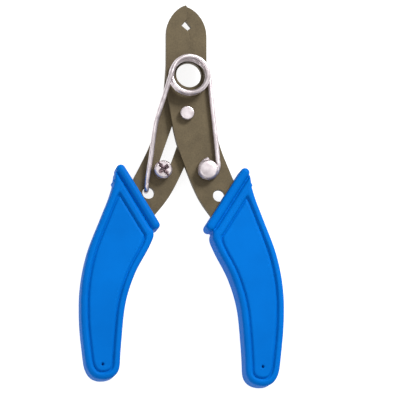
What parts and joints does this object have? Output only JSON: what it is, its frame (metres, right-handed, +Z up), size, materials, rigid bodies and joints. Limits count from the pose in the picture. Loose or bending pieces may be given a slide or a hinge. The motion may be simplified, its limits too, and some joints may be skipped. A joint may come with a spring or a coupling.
{
  "type": "adjustable wire stripper and cutter",
  "caption": "Small spring-opened wire stripper and cutter: two crossed flat steel levers with notched blades, a sliding stop screw, an exposed coil spring and blue dipped handles.",
  "frame": {"origin": "on the surface the tool lies on, under the middle of its outline", "axes": "+Y towards the jaw tip, +X towards the front lever's handle, +Z up out of the surface"},
  "size_m": [0.0678, 0.129, 0.0131],
  "materials": {
    "dark_steel": "Dark olive-grey oxidised flat steel, dull, with faint grain",
    "zinc_plate": "Bright zinc-plated steel with soft reflections",
    "blue_vinyl": "Soft blue dipped vinyl, satin"
  },
  "bodies": {
    "front_assembly": {"front_lever": "dark_steel", "right_grip": "blue_vinyl", "pivot_rivet": "zinc_plate", "spring_stud": "zinc_plate"},
    "back_assembly": {"back_lever": "dark_steel", "left_grip": "blue_vinyl"},
    "stop": {"clamp_nut": "zinc_plate", "front_washer": "zinc_plate", "back_washer": "zinc_plate"},
    "screw": {"adjusting_screw": "zinc_plate"},
    "coil": {"spring_coil": "zinc_plate"},
    "arm": {"spring_arm": "zinc_plate"}
  },
  "joints": [
    {"name": "close", "type": "hinge", "parent": "front_assembly", "child": "back_assembly", "pos_m": [0.0014, 0.027, 0.005], "axis": [0, 0, 1], "range_deg": [0, 8], "stiffness_Nm_per_rad": 1},
    {"name": "stop_slide", "type": "slide", "parent": "back_assembly", "child": "stop", "axis": [0.3257, 0.9455, 0], "range_m": [0, 0.003]},
    {"name": "screw_turn", "type": "hinge", "parent": "stop", "child": "screw", "pos_m": [-0.00651, 0.00774, 0.007], "axis": [0, 0, 1], "range_deg": [-180, 180]},
    {"name": "coil_tilt", "type": "hinge", "parent": "front_assembly", "child": "coil", "pos_m": [0.0083, 0.00767, 0.0082], "axis": [0, 0, 1], "range_deg": [-0.1, 1.9]},
    {"name": "coil_wind", "type": "hinge", "parent": "coil", "child": "arm", "pos_m": [0.0019, 0.0396, 0.011], "axis": [0, 0, 1], "range_deg": [-0.1, 5.3]}
  ],
  "couplings": [
    {"joint": "coil_tilt", "follows": "close", "ratio": 0.2242},
    {"joint": "coil_wind", "follows": "close", "ratio": 0.6402}
  ]
}
